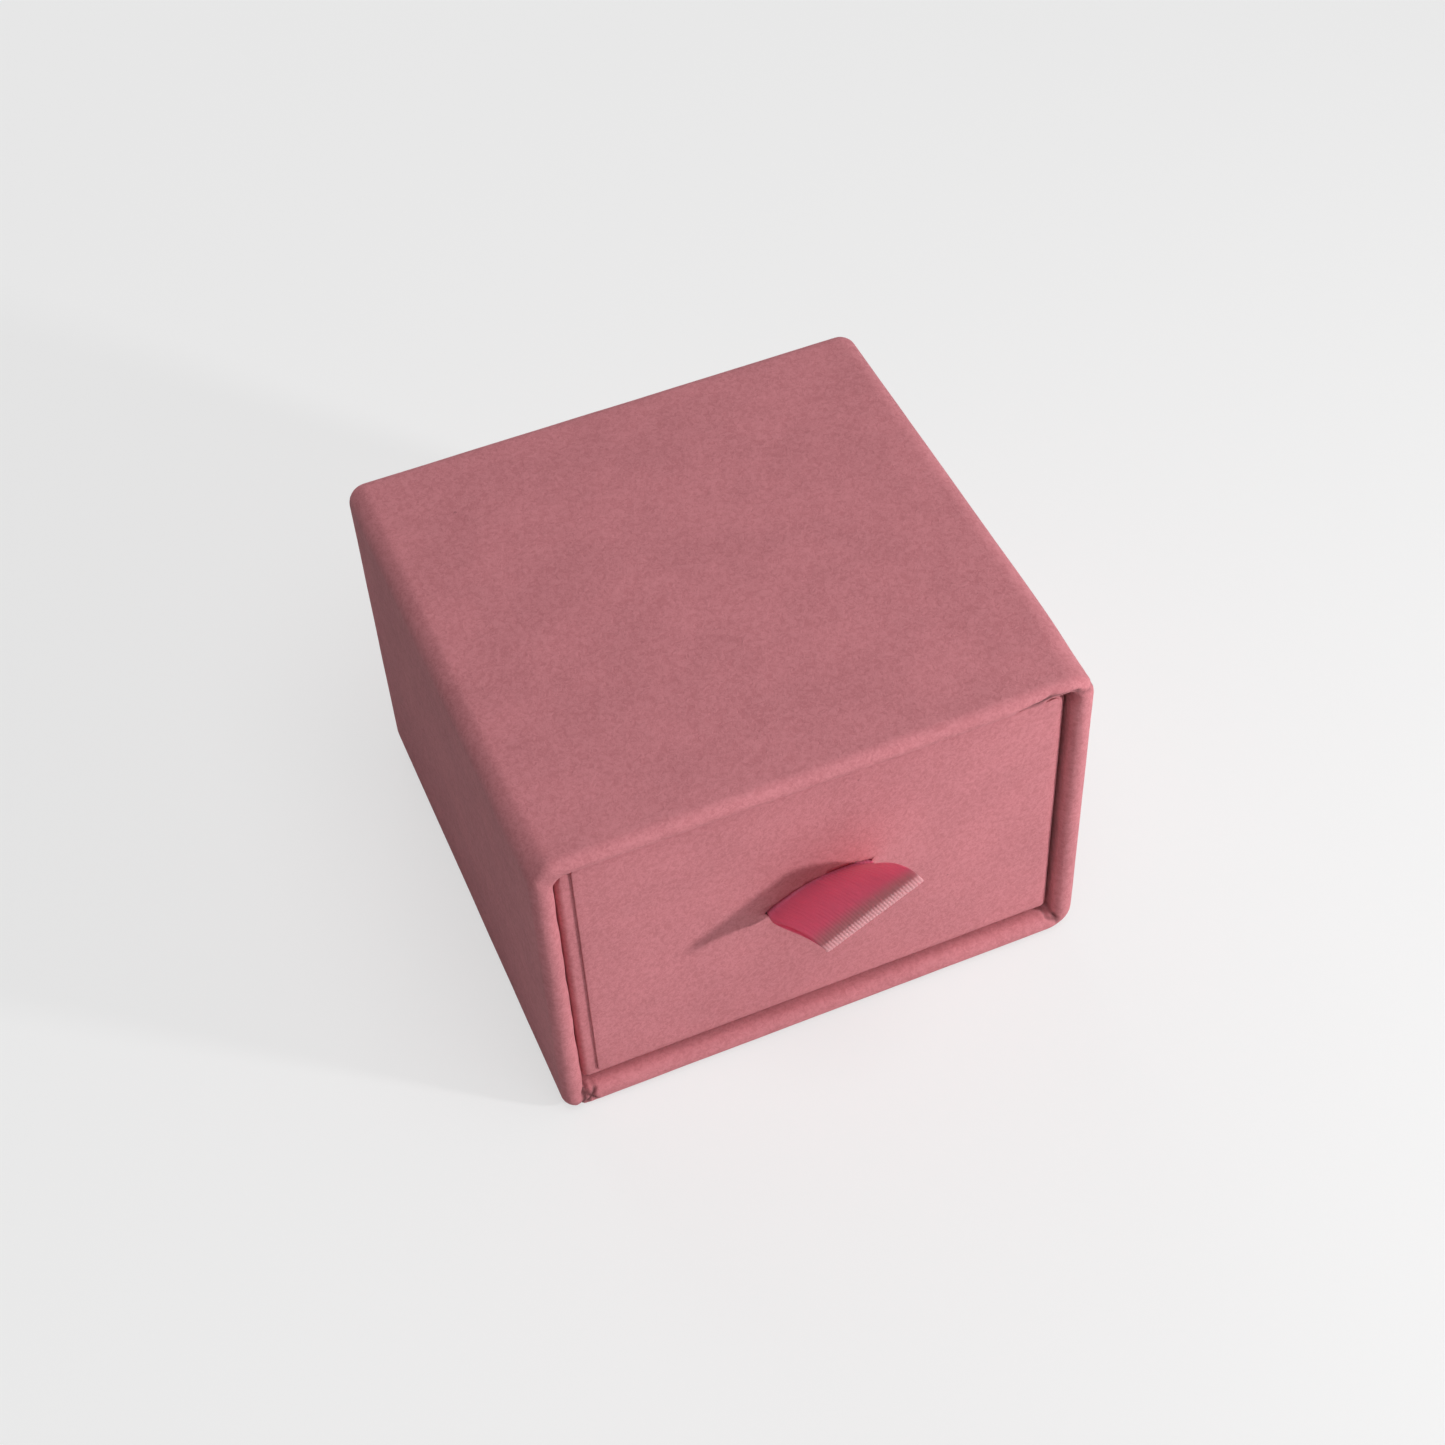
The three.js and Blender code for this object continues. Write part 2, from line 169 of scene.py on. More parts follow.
class RINGBOX_PG_stage(bpy.types.PropertyGroup):
    """Camera, floor and light"""

    azimuth: angle_in_degrees("Azimuth", "Camera's angle round the box, 0 looks along +Y", -20.26)
    elevation: angle_in_degrees("Elevation", "Camera's angle above the horizon", 48.81)
    roll: angle_in_degrees("Roll", "Camera's turn about its own axis", -3.51)
    distance: size_in_mm("Distance", "From the camera to the point that it looks at", 224.18)
    aim_x: size_in_mm("Aim X", "Point looked at, right of the sleeve's middle", 0.31)
    aim_y: size_in_mm("Aim Y", "Point looked at, behind the sleeve's middle", -1.3)
    aim_z: size_in_mm("Aim Z", "Point looked at, above the sleeve's middle", -0.95)
    lens: FloatProperty(name="Lens", description="Focal length", default=61.39, unit="CAMERA")
    key: power_in_watts("Key", "Power of the key light", 0.52)
    over: power_in_watts("Overhead", "Power of the overhead light", 1.06)
    fill: power_in_watts("Fill", "Power of the light behind the box", 0.7)
    sky: FloatProperty(name="Sky", description="Brightness of the light all round", default=0.225, min=0)
    floor: plain_colour("Floor", "Colour of the floor", (0.8, 0.8, 0.8))


class RINGBOX_PG_settings(bpy.types.PropertyGroup):
    """Every size and colour of the ring box"""

    paper: PointerProperty(type=RINGBOX_PG_paper)
    ribbon: PointerProperty(type=RINGBOX_PG_ribbon)
    pad: PointerProperty(type=RINGBOX_PG_pad)
    stage: PointerProperty(type=RINGBOX_PG_stage)


def settings():
    return bpy.context.scene.ring_box


# ---------------- nodes

def put(tree, kind, inputs=None, **details):
    """Adds a node; each input is a value or another node's output."""
    node = tree.nodes.new(kind)
    for name, value in details.items():
        setattr(node, name, value)
    for key, value in (inputs or {}).items():
        if isinstance(value, bpy.types.NodeSocket):
            tree.links.new(value, node.inputs[key])
        else:
            node.inputs[key].default_value = value
    return node


def math_node(tree, operation, *values):
    return put(tree, "ShaderNodeMath", dict(enumerate(values)), operation=operation).outputs[0]


def times(tree, first, second):
    return math_node(tree, "MULTIPLY", first, second)


def object_coords(tree):
    return put(tree, "ShaderNodeTexCoord").outputs["Object"]


def remembered(tree, name):
    """What the piece remembers under that name."""
    return put(tree, "ShaderNodeAttribute", attribute_name=name).outputs["Fac"]


def mixed(tree, factor, first, second):
    """Colour between first and second."""
    ends = {0: factor, 6: first, 7: second}
    return put(tree, "ShaderNodeMix", ends, data_type="RGBA").outputs[2]


def toned(colour, factor):
    return (*(min(1, channel * factor) for channel in colour[:3]), 1)


def grain(tree, coords, size, detail=4.0, roughness=0.6, distortion=0.0):
    """Noise whose grains are about `size` across."""
    inputs = {
        "Vector": coords, "Scale": 1 / size,
        "Detail": detail, "Roughness": roughness, "Distortion": distortion,
    }
    return put(tree, "ShaderNodeTexNoise", inputs).outputs["Fac"]


def stretched(tree, value, low, high):
    """The value spread smoothly from 0 at low to 1 at high."""
    inputs = {"Value": value, "From Min": low, "From Max": high}
    return put(tree, "ShaderNodeMapRange", inputs, interpolation_type="SMOOTHSTEP").outputs[0]


def new_material(name, **sockets):
    material = bpy.data.materials.new(name)
    material.use_nodes = True
    tree = material.node_tree
    shader = tree.nodes["Principled BSDF"]
    for key, value in sockets.items():
        shader.inputs[key.replace("_", " ")].default_value = value
    return material, tree, shader


def finished(material, tree, shader, colour, height, depth):
    """The material with its colour linked and a relief of the given depth."""
    tree.links.new(colour, shader.inputs["Base Color"])
    relief = put(tree, "ShaderNodeBump", {"Height": height, "Distance": depth})
    tree.links.new(relief.outputs["Normal"], shader.inputs["Normal"])
    return material


def paper_material(name, colour, deep, fibre=0.28 * MM, relief=0.08 * MM):
    """Soft matted paper: fibres, slow clouds of tone, dark flecks, and painted shade darkening the creases
    that a piece remembers.
    """
    material, tree, shader = new_material(
        name, Roughness=0.85, Specular_IOR_Level=0.18, Sheen_Weight=0.08, Sheen_Roughness=0.5,
        Sheen_Tint=toned((1.0, 0.75, 0.76), 1),
    )
    coords = object_coords(tree)
    fibres = grain(tree, coords, fibre, 5.0, 0.62, 1.2)
    mat = grain(tree, coords, fibre * 2, 3.0, 0.6, 0.8)
    clouds = grain(tree, coords, 7 * MM, 2.0)
    height = math_node(tree, "MULTIPLY_ADD", mat, 0.5, times(tree, fibres, 0.5))
    body = mixed(tree, stretched(tree, height, 0.36, 0.62), toned(deep, 1), toned(colour, 1.02))
    cloudy = mixed(tree, stretched(tree, clouds, 0.3, 0.7), toned(colour, 0.86), toned(colour, 1.04))
    shade = mixed(tree, 0.4, body, cloudy)
    cells = put(tree, "ShaderNodeTexVoronoi", {"Vector": coords, "Scale": 1 / (4.2 * MM)})
    chance = put(tree, "ShaderNodeSeparateColor", {"Color": cells.outputs["Color"]}).outputs[0]
    radius = times(tree, stretched(tree, chance, 0.55, 1.0), 0.03)
    fleck = math_node(tree, "LESS_THAN", cells.outputs["Distance"], radius)
    shade = mixed(tree, times(tree, fleck, 0.45), shade, toned(deep, 0.4))
    # Painted shade: where a piece remembers a crease or a lifted seam, its colour is darkened towards the
    # deep tone.
    crease_shade = remembered(tree, "crease")
    shade = mixed(tree, times(tree, crease_shade, 0.85), shade, toned(deep, 0.12))
    return finished(material, tree, shader, shade, height, relief)


def ribbon_material(name, colour, pale):
    """Warp-faced ribbon that lets some light through, with fine picks and a painted highlight: its colour
    turns greyer, then pale, towards the fold.
    """
    material, tree, shader = new_material(
        name, Roughness=0.4, Specular_IOR_Level=0.8, Sheen_Weight=0.3, Sheen_Roughness=0.3,
    )
    pick, strands = 0.2 * MM, 68
    picks = math_node(tree, "SINE", times(tree, remembered(tree, "along"), 2 * math.pi / pick))
    threads = math_node(tree, "SINE", times(tree, remembered(tree, "across"), 2 * math.pi * strands))
    weave = math_node(tree, "MULTIPLY_ADD", times(tree, picks, threads), 0.5, 0.5)
    coords = object_coords(tree)
    slubs = stretched(tree, grain(tree, coords, 0.5 * MM), 0.3, 0.7)
    away = remembered(tree, "fold")
    # Painted highlight: the colour turns greyer near the fold and pale on it, standing in for the satin's
    # sheen.
    worn = mixed(tree, stretched(tree, away, 2.4 * MM, 0.5 * MM), toned(colour, 1), toned(pale, 0.62))
    worn = mixed(tree, stretched(tree, away, 0.55 * MM, 0.35 * MM), worn, toned(pale, 1))
    body = mixed(tree, times(tree, slubs, 0.08), worn, toned(colour, 0.5))
    shade = mixed(tree, times(tree, weave, 0.12), body, toned(colour, 0.6))
    through = put(tree, "ShaderNodeBsdfTranslucent", {"Color": toned((1.0, 0.31, 0.46), 1)})
    blend = put(tree, "ShaderNodeMixShader", {0: 0.38, 1: shader.outputs[0], 2: through.outputs[0]})
    tree.links.new(blend.outputs[0], tree.nodes["Material Output"].inputs["Surface"])
    return finished(material, tree, shader, shade, weave, 0.012 * MM)


def velvet_material(name, colour):
    """Short pile with a soft sheen, brushed in patches."""
    material, tree, shader = new_material(
        name, Roughness=0.95, Specular_IOR_Level=0.1, Sheen_Weight=0.6, Sheen_Roughness=0.35,
        Sheen_Tint=toned(colour, 1.15),
    )
    coords = object_coords(tree)
    pile = grain(tree, coords, 0.3 * MM, 4.0, 0.7)
    nap = grain(tree, coords, 6 * MM, 2.0, 0.5, 0.3)
    brushed = mixed(tree, stretched(tree, nap, 0.3, 0.7), toned(colour, 0.9), toned(colour, 1.03))
    tufts = mixed(tree, stretched(tree, pile, 0.3, 0.7), toned(colour, 0.78), toned(colour, 1.06))
    return finished(material, tree, shader, mixed(tree, 0.5, brushed, tufts), pile, 0.15 * MM)


def foam_material(name, colour):
    """Open-cell foam with small dark pores."""
    material, tree, shader = new_material(name, Roughness=0.95, Specular_IOR_Level=0.2)
    coords = object_coords(tree)
    cells = put(tree, "ShaderNodeTexVoronoi", {"Vector": coords, "Scale": 1 / (0.5 * MM)}).outputs["Distance"]
    shade = mixed(tree, stretched(tree, cells, 0.1, 0.5), toned(colour, 0.65), toned(colour, 1))
    return finished(material, tree, shader, shade, cells, 0.15 * MM)


def board_material(name, colour, streak=1.6 * MM):
    """Recycled board or brown tape: blurred streaks with pale and dark fibres."""
    material, tree, shader = new_material(name, Roughness=0.92, Specular_IOR_Level=0.2)
    coords = object_coords(tree)
    specks = grain(tree, coords, 0.25 * MM, 5.0, 0.65)
    streaks = grain(tree, coords, streak, 4.0, 0.6, 2.5)
    base = mixed(tree, stretched(tree, streaks, 0.35, 0.7), toned(colour, 0.82), toned(colour, 1))
    pale = mixed(tree, stretched(tree, specks, 0.56, 0.72), base, toned(colour, 1.5))
    shade = mixed(tree, stretched(tree, specks, 0.42, 0.3), pale, toned(colour, 0.5))
    return finished(material, tree, shader, shade, specks, 0.04 * MM)


def finish(slot):
    """The slot's material, made when it is first asked for. The slot's own name is taken by a plain one."""
    name = slot + "_finish"
    paper, ribbon, pad = settings().paper, settings().ribbon, settings().pad
    makers = {
        "wrap_paper": lambda: paper_material(name, paper.colour, paper.deep),
        "facing_paper": lambda: paper_material(name, paper.colour, paper.deep, fibre=0.25 * MM),
        "liner_paper": lambda: paper_material(name, paper.liner, toned(paper.liner, 0.9), relief=0.02 * MM),
        "greyboard": lambda: board_material(name, paper.board),
        "stay_tape": lambda: board_material(name, paper.tape, streak=4 * MM),
        "backing_card": lambda: board_material(name, toned(paper.board, 0.9)),
        "ribbon": lambda: ribbon_material(name, ribbon.colour, ribbon.pale),
        "velvet": lambda: velvet_material(name, pad.velvet),
        "foam": lambda: foam_material(name, pad.foam),
    }
    return bpy.data.materials.get(name) or makers[slot]()


# ---------------- geometry nodes

def new_geometry_tree(name, sockets):
    """An empty tree with named inputs; sockets is {name: (kind, default)}."""
    tree = bpy.data.node_groups.new(name, "GeometryNodeTree")
    tree.interface.new_socket(name="Geometry", in_out="INPUT", socket_type="NodeSocketGeometry")
    for label, (kind, default) in sockets.items():
        socket = tree.interface.new_socket(name=label, in_out="INPUT", socket_type="NodeSocket" + kind)
        if default is not None:
            socket.default_value = default
    tree.interface.new_socket(name="Geometry", in_out="OUTPUT", socket_type="NodeSocketGeometry")
    return tree, put(tree, "NodeGroupInput").outputs


def push_along_normals(tree, given, lift):
    """Moves every point along its normal, then ends the tree."""
    normal = put(tree, "GeometryNodeInputNormal").outputs[0]
    offset = put(tree, "ShaderNodeVectorMath", {0: normal, "Scale": lift}, operation="SCALE").outputs[0]
    moved = put(tree, "GeometryNodeSetPosition", {"Geometry": given["Geometry"], "Offset": offset}).outputs[0]
    real = put(tree, "GeometryNodeRealizeInstances", {"Geometry": moved}).outputs[0]
    ready = put(tree, "GeometryNodeSetMaterial", {"Geometry": real, "Material": given["Material"]}).outputs[0]
    put(tree, "NodeGroupOutput", {"Geometry": ready})
    return tree


def ripple_tree():
    """Slow, uneven ripples in a sheet that is glued down."""
    tree, given = new_geometry_tree("Sheet ripple", {
        "Height": ("Float", 0.08 * MM), "Length": ("Float", 8 * MM), "Seed": ("Float", 0.0),
        "Material": ("Material", None),
    })
    place = put(tree, "GeometryNodeInputPosition").outputs[0]
    scale = math_node(tree, "DIVIDE", 1.0, given["Length"])
    inputs = {"Vector": place, "W": given["Seed"], "Scale": scale, "Detail": 2.5}
    wave = put(tree, "ShaderNodeTexNoise", inputs, noise_dimensions="4D").outputs[0]
    lift = times(tree, math_node(tree, "SUBTRACT", wave, 0.5), given["Height"])
    return push_along_normals(tree, given, lift)


def thread_tree():
    """Round warp threads along a ribbon whose points know their place across it."""
    tree, given = new_geometry_tree("Warp threads", {
        "Threads": ("Int", 34), "Height": ("Float", 0.03 * MM), "Material": ("Material", None),
    })
    across = put(tree, "GeometryNodeInputNamedAttribute", {"Name": "across"}, data_type="FLOAT").outputs[0]
    turn = times(tree, times(tree, across, given["Threads"]), math.pi)
    thread = math_node(tree, "ABSOLUTE", math_node(tree, "SINE", turn))
    return push_along_normals(tree, given, times(tree, thread, given["Height"]))


def grow(piece, tree, **inputs):
    """Runs a tree on the piece and keeps the result as the piece's plain mesh."""
    modifier = piece.modifiers.new(tree.name, "NODES")
    modifier.node_group = tree
    sockets = {item.name: item.identifier for item in tree.interface.items_tree if item.in_out == "INPUT"}
    for name, value in inputs.items():
        modifier[sockets[name]] = value
    keep_result(piece)


def keep_result(piece):
    """Replaces the piece's mesh by what its modifiers make of it, and removes them."""
    bpy.context.view_layer.update()
    seen = piece.evaluated_get(bpy.context.evaluated_depsgraph_get())
    mesh, old = bpy.data.meshes.new_from_object(seen), piece.data
    piece.modifiers.clear()
    piece.data = mesh
    bpy.data.meshes.remove(old)
    mesh.name = piece.name


# ---------------- mesh work

QUARTERS = ((1, 1), (-1, 1), (-1, -1), (1, -1))
CORNER_STEPS = 8
NEAR_MIDDLE = 0.48          # share of a face's width at which its rings stop and its fan begins
DEEPEST_DENT = 0.27 * MM    # so that the board never shows through the paper


def crowded(length, fine, coarse, reach):
    """Shares from 0 to 1 along a side, close together near both ends."""
    near = np.arange(0, reach, fine)
    between = np.linspace(reach, length - reach, max(2, round((length - 2 * reach) / coarse)))
    return np.concatenate([near, between, (length - near)[::-1]]) / length


def even(length, step):
    return np.linspace(0, 1, max(2, round(length / step)) + 1)


def rounded_ring(half_u, half_v, radii, sides):
    """A rectangle with a radius at each corner, counter-clockwise from its +u side."""
    corners = []
    for quarter, (u, v) in enumerate(QUARTERS):
        angle = np.linspace(quarter, quarter + 1, CORNER_STEPS + 1) * math.pi / 2
        centre = np.array([u * (half_u - radii[quarter]), v * (half_v - radii[quarter])])
        corners.append(centre + radii[quarter] * np.stack([np.cos(angle), np.sin(angle)], -1))
    points = []
    for quarter, corner in enumerate(corners):
        start, stop = corner[-1], corners[(quarter + 1) % 4][0]
        points += [corner, start + (stop - start) * sides[quarter % 2][1:-1, None]]
    return np.concatenate(points)


def arc(inset, height, radius, start, stop, steps):
    """A round stretch of a section, as rows of inset and height."""
    angle = np.radians(np.linspace(start, stop, steps + 1))
    return np.stack([inset + radius * np.cos(angle), height + radius * np.sin(angle)], -1)


def straight(start, stop, step):
    """A straight stretch of a section, both ends included."""
    start, stop = np.array(start, float), np.array(stop, float)
    count = max(1, round(float(np.linalg.norm(stop - start)) / step))
    return start + (stop - start) * np.linspace(0, 1, count + 1)[:, None]


def section(*stretches):
    """Joins stretches, leaving out points that repeat the one before."""
    rows = np.concatenate(stretches)
    apart = np.linalg.norm(np.diff(rows, axis=0), axis=1) > 1e-3 * MM
    return rows[np.concatenate([[True], apart])]


def ring_normals(rings):
    """Normals of a stack of rings, to the side that faces out where the rings climb."""
    around = np.roll(rings, -1, 1) - np.roll(rings, 1, 1)
    normal = np.cross(around, np.gradient(rings, axis=0))
    return normal / np.maximum(np.linalg.norm(normal, axis=-1, keepdims=True), 1e-12)


def new_object(name, data):
    made = bpy.data.objects.new(name, data)
    bpy.context.scene.collection.objects.link(made)
    return made


def skin(name, rings):
    """A closed piece from a stack of rings, with a fan over each end; its faces point out."""
    count, size = rings.shape[:2]
    points = np.concatenate([rings.reshape(-1, 3), rings[:1].mean(1), rings[-1:].mean(1)])
    low, i = np.meshgrid(np.arange(count - 1) * size, np.arange(size), indexing="ij")
    after = (i + 1) % size
    quads = np.stack([low + i, low + after, low + size + after, low + size + i], -1).reshape(-1, 4)
    i, after, last = np.arange(size), (np.arange(size) + 1) % size, (count - 1) * size
    ends = [np.stack([np.full(size, count * size), after, i], -1)]
    ends.append(np.stack([np.full(size, count * size + 1), last + i, last + after], -1))
    a, b, c, d = (points[quads[:, k]] for k in range(4))
    volume = (a * np.cross(b, c)).sum() + (a * np.cross(c, d)).sum()
    faces = quads.tolist() + np.concatenate(ends).tolist()
    if volume < 0:
        faces = [face[::-1] for face in faces]
    mesh = bpy.data.meshes.new(name)
    mesh.from_pydata(points.tolist(), [], faces)
    mesh.shade_smooth()
    return new_object(name, mesh)


def remember(piece, name, values):
    """Stores a number for each point of the piece, for its material or tree to read."""
    layer = piece.data.attributes.new(name, "FLOAT", "POINT")
    layer.data.foreach_set("value", np.asarray(values, np.float32))


def cut(piece, cutter):
    """Cuts the cutter's shape out of the piece and removes the cutter."""
    modifier = piece.modifiers.new("Cut", "BOOLEAN")
    modifier.operation, modifier.solver, modifier.object = "DIFFERENCE", "EXACT", cutter
    keep_result(piece)
    bpy.data.objects.remove(cutter)


class PaperedBox:
    """A board box with one open end, in its own frame: u and v across it, w up to its rim."""

    def __init__(self, width, length, height, edge, floor, turn_in, soft_corner=0.0, worn=(0, 0, 0, 0)):
        paper = settings().paper
        self.width, self.length, self.height = width, length, height
        self.edge, self.floor, self.turned = edge, floor, height - turn_in
        self.soft_corner, self.worn = soft_corner, np.array(worn)
        self.wall, self.sheet = paper.wall, paper.sheet
        self.inner_u, self.inner_v = width / 2 - self.wall, length / 2 - self.wall

    def stack(self, rows, sides):
        """Rings of the box at each row of inset and height."""
        rings = []
        for inset, w in rows:
            least = np.full(4, 0.25 * MM)
            least[1] += self.soft_corner * step_up(w - self.height + 5 * MM, 1.5 * MM)
            near_mouth = step_up(w - self.height + 6 * MM, 3 * MM)
            radii = np.maximum(self.edge + self.worn * near_mouth - inset, least)
            flat = rounded_ring(self.width / 2 - inset, self.length / 2 - inset, radii, sides)
            rings.append(np.column_stack([flat, np.full(len(flat), w)]))
        return np.stack(rings)

    def wrap(self, dent):
        """The wrap paper; dent(u, v, w) is how deep its shown face is pressed in, and how much painted shade
        darkens it there.
        """
        rim, nose, sheet, floor = self.height - self.wall / 2, self.wall / 2, self.sheet, self.floor
        middle = min(self.width, self.length) * NEAR_MIDDLE
        shown = section(
            straight((middle, 0), (floor, 0), 0.9 * MM),
            arc(floor, floor, floor, 270, 180, 7),
            straight((0, floor), (0, rim - 2 * MM), 0.85 * MM),
            straight((0, rim - 2 * MM), (0, rim), 0.25 * MM),
            arc(nose, rim, nose, 180, 0, 22),
            straight((self.wall, rim), (self.wall, rim - 2 * MM), 0.25 * MM),
            straight((self.wall, rim - 2 * MM), (self.wall, self.turned), 0.85 * MM),
        )
        hidden = section(
            straight((self.wall - sheet, self.turned), (self.wall - sheet, rim), 5 * MM),
            arc(nose, rim, nose - 1.8 * sheet, 0, 180, 8),
            straight((sheet, rim), (sheet, floor), 5 * MM),
            arc(floor, floor, floor - sheet, 180, 270, 4),
            straight((floor, sheet), (middle, sheet), 5 * MM),
        )
        fine = (0.15 * MM, 0.8 * MM, 3.8 * MM)
        sides = [crowded(side - 2 * self.edge, *fine) for side in (self.width, self.length)]
        face = self.stack(shown, sides)
        depth, crease_shade = dent(*np.moveaxis(face, -1, 0))
        face = face - ring_normals(face) * np.minimum(depth, DEEPEST_DENT)[..., None]
        under = self.stack(hidden, sides)
        # Painted shade for each point of the shown face; none for the hidden side and the two fan centres.
        self.crease_shade = np.concatenate([crease_shade.ravel(), np.zeros(under[..., 0].size + 2)])
        return np.concatenate([face, under])

    def lining(self):
        """The liner paper, inside the box up to the turned-in wrap."""
        outer, inner, top = self.wall - self.sheet, self.wall, self.turned - settings().paper.liner_gap
        middle = min(self.width, self.length) * NEAR_MIDDLE
        rows = section(
            straight((outer, outer), (outer, top), 2 * MM), straight((inner, top), (inner, inner), 1.2 * MM),
            straight((inner, inner), (middle, inner), 1.2 * MM),
        )
        return self.stack(rows, [even(side, 1.2 * MM) for side in (self.width, self.length)])


def step_up(x, width):
    """From 0 to 1 across x = 0."""
    return 0.5 + 0.5 * np.tanh(x / width)


def crease(u, v, path, depth, width):
    """Depth of a pressed line along a path of points."""
    nearest = np.full(u.shape, np.inf)
    for (u0, v0), (u1, v1) in zip(path, path[1:]):
        du, dv = u1 - u0, v1 - v0
        share = np.clip(((u - u0) * du + (v - v0) * dv) / (du * du + dv * dv), 0, 1)
        nearest = np.minimum(nearest, np.hypot(u - u0 - share * du, v - v0 - share * dv))
    return depth * np.exp(-(nearest / width) ** 2)


def hollow(u, v, u0, v0, depth, radius):
    """Depth of a round dent; a negative depth is a swelling."""
    return depth * np.exp(-((u - u0) ** 2 + (v - v0) ** 2) / radius ** 2)


def sleeve_box():
    paper, size = settings().paper, SLEEVE_HIGH - SLEEVE_LOW
    return PaperedBox(
        size.x, size.z, size.y, paper.sleeve_edge, paper.sleeve_back, paper.sleeve_turn_in,
        soft_corner=paper.mouth_corner, worn=(paper.worn_right, paper.worn_left, 0, paper.worn_foot),
    )


def in_sleeve(rings):
    """From the sleeve's own frame, mouth up, to the model's frame, mouth forward."""
    middle = (SLEEVE_LOW.z + SLEEVE_HIGH.z) / 2
    return np.stack([rings[..., 0], SLEEVE_HIGH.y - rings[..., 2], middle + rings[..., 1]], -1)


def tray_box():
    paper, size = settings().paper, TRAY_HIGH - TRAY_LOW
    return PaperedBox(size.x, size.y, size.z, paper.tray_edge, paper.tray_floor, paper.tray_turn_in)


def in_tray(rings):
    return rings + np.array([0, (TRAY_LOW.y + TRAY_HIGH.y) / 2, TRAY_LOW.z])


def ripple(piece, slot, seed, height, length):
    """Gives the piece its slow ripples and its finish."""
    tree = bpy.data.node_groups.get("Sheet ripple") or ripple_tree()
    grow(piece, tree, Height=height, Length=length, Seed=seed, Material=finish(slot))


def belongs(piece, body, slot, *nodes):
    """The piece stands for CAD nodes, which it hides, and rides on a body. The slot is not used."""
    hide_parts(*nodes)
    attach(piece, body)


# ---------------- operators

class Undoable:
    """Shared by the operators: each is one step that can be undone."""

    bl_options = {"REGISTER", "UNDO"}


class RINGBOX_OT_sleeve(Undoable, bpy.types.Operator):
    """Wrap the sleeve: a soft round mouth, tucked corners and the creases of the turned paper, darkened with
    painted shade
    """

    bl_idname = "ring_box.sleeve"
    bl_label = "Sleeve wrap"

    def execute(self, context):
        box, paper = sleeve_box(), settings().paper
        left, right, top, foot = -box.inner_u, box.inner_u, box.inner_v, -box.inner_v
        # Each seam: its corner of the mouth, its path from there, depth and width in mm, and how dark its
        # painted shade is
        seams = (
            (left, foot, [(0, 0), (-0.15, -1.0), (-0.8, -2.0)], 0.27, 0.26, 1.0),
            (left, foot, [(0.1, -0.2), (0.9, -1.3)], 0.32, 0.18, 1.0),
            (left, foot, [(0.9, -0.2), (0.1, -1.4)], 0.28, 0.17, 1.0),
            (right, foot, [(0, 0), (0.5, -0.9)], 0.2, 0.2, 0.9),
            (right, foot, [(-0.6, -0.1), (0.6, -0.9)], 0.3, 0.15, 0.6),
            (right, top, [(0.1, 0.3), (1.9, 0.2)], 0.4, 0.18, 0.4),
            (right, top, [(-4.9, 0.5), (-3.6, 0.72), (-2.4, 1.02)], 0.5, 0.3, 1.0),
            (right, top, [(-2.4, 1.02), (0, 0.85)], 0.3, 0.18, 0.8),
        )
        # Each dent: its corner of the mouth, its place from there, depth and radius in mm; a minus swells
        dents = (
            (right, top, (-2.3, 1.1), 0.12, 0.5),
            (right, top, (-3.0, 0.55), -0.1, 0.6),
            (left, top, (-0.8, 0.3), 0.10, 0.5),
            (left, top, (-1.7, 1.6), 0.22, 1.1),
        )

        def dent(u, v, w):
            """Marks on the mouth's rim, where the paper was folded over the board, with painted shade along
            the seams.
            """
            depth, crease_shade = 0, 0
            for side, end, path, deep, wide, dark in seams:
                line = crease(u, v, [(side + a * MM, end + b * MM) for a, b in path], 1, wide * MM)
                depth, crease_shade = depth + deep * MM * line, np.maximum(crease_shade, dark * line)
            tucked = step_up(u - right + 3.0 * MM, 0.4 * MM) * step_up(right + 0.2 * MM - u, 0.2 * MM)
            under, over = step_up(top + 0.75 * MM - v, 0.15 * MM), step_up(v - top + 1 * MM, 0.3 * MM)
            depth += 0.28 * MM * tucked * under * over
            for side, end, (a, b), deep, radius in dents:
                depth += hollow(u, v, side + a * MM, end + b * MM, deep * MM, radius * MM)
            beside = step_up(np.abs(u) - box.inner_u + 0.4 * MM, 0.25 * MM) * step_up(top - v, 0.6 * MM)
            wave = np.sin(v / (0.9 * MM)) * np.sin(v / (2.6 * MM) + 1.0)
            depth += 0.045 * MM * wave * beside * step_up(-np.abs(u) + box.inner_u + 0.8 * MM, 0.3 * MM)
            on_rim = step_up(w - box.height + 1.6 * MM, 0.3 * MM)
            return depth * on_rim, crease_shade * on_rim

        piece = skin("sleeve_wrap", in_sleeve(box.wrap(dent)))
        # The seams' painted shade goes to the paper's material under the name crease.
        remember(piece, "crease", box.crease_shade)
        ripple(piece, "wrap_paper", 2.4, paper.ripple, paper.ripple_length)
        belongs(piece, "sleeve", "wrap_paper", "sleeve_wrap_paper")
        lining = skin("sleeve_liner", in_sleeve(box.lining()))
        ripple(lining, "liner_paper", 3.3, paper.ripple, paper.ripple_length)
        belongs(lining, "sleeve", "liner_paper", "sleeve_liner_paper")
        return {"FINISHED"}


